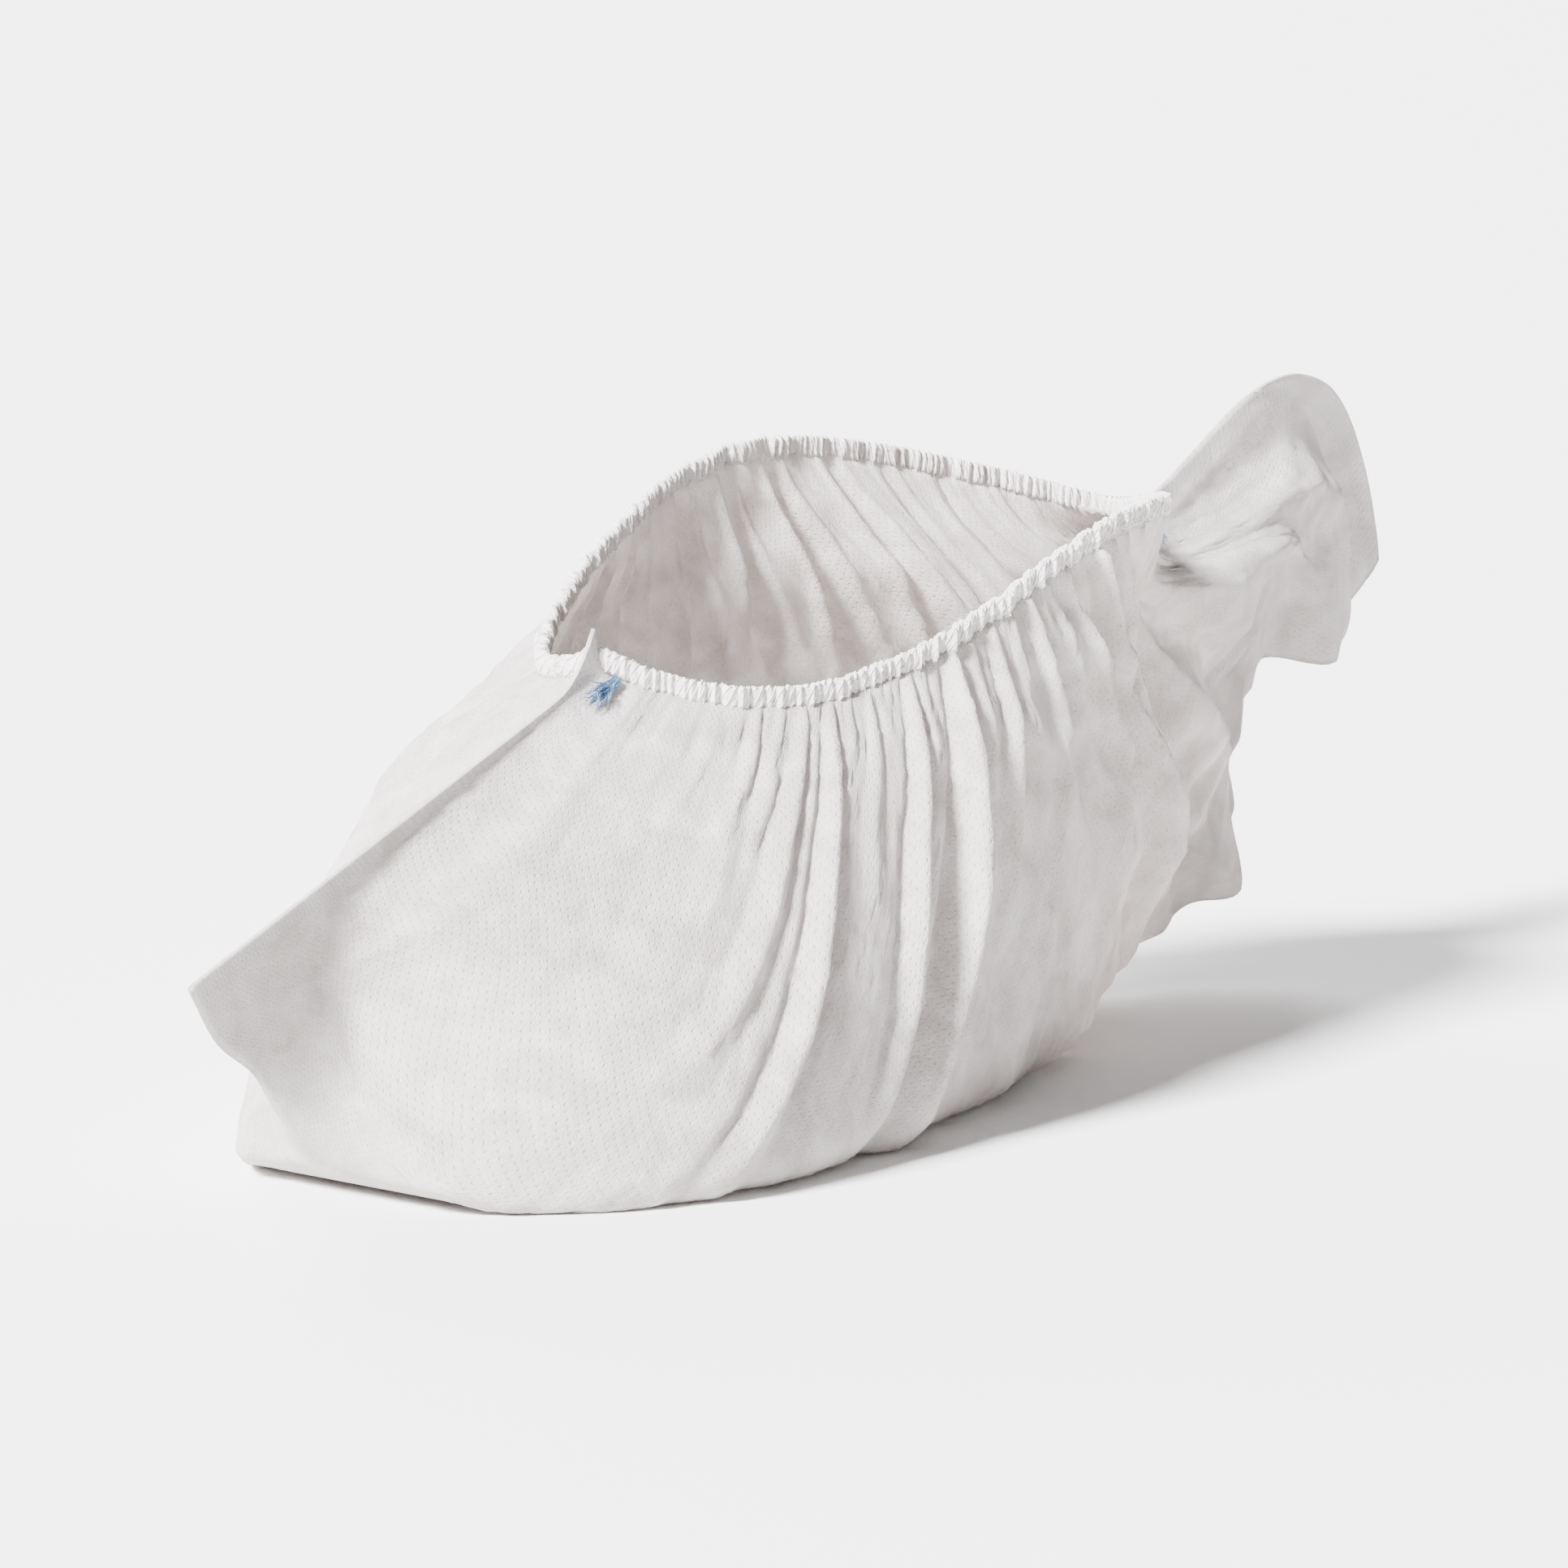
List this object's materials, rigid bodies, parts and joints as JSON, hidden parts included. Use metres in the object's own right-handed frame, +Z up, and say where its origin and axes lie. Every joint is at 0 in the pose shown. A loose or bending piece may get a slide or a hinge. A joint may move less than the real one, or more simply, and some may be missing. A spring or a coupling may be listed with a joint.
{
  "type": "disposable nonwoven shoe cover",
  "caption": "Disposable nonwoven shoe cover in its worn form, with a folded sheet bag, welded toe and heel seams, and a gathered elastic hem round the foot opening.",
  "frame": {"origin": "middle of the cover's footprint, at the height of the floor under its sole", "axes": "-Y towards the toe, +Y towards the loose tail behind the heel, +Z up out of the foot opening, +X towards the side that the picture shows"},
  "size_m": [0.1144, 0.394, 0.1206],
  "materials": {
    "nonwoven": "matte",
    "overlock": "matte",
    "elastic": "matte"
  },
  "bodies": {
    "root": {"nonwoven_bag": "nonwoven", "gathered_hem": "overlock", "toe_elastic_end": "elastic", "heel_elastic_end": "elastic"}
  },
  "joints": []
}
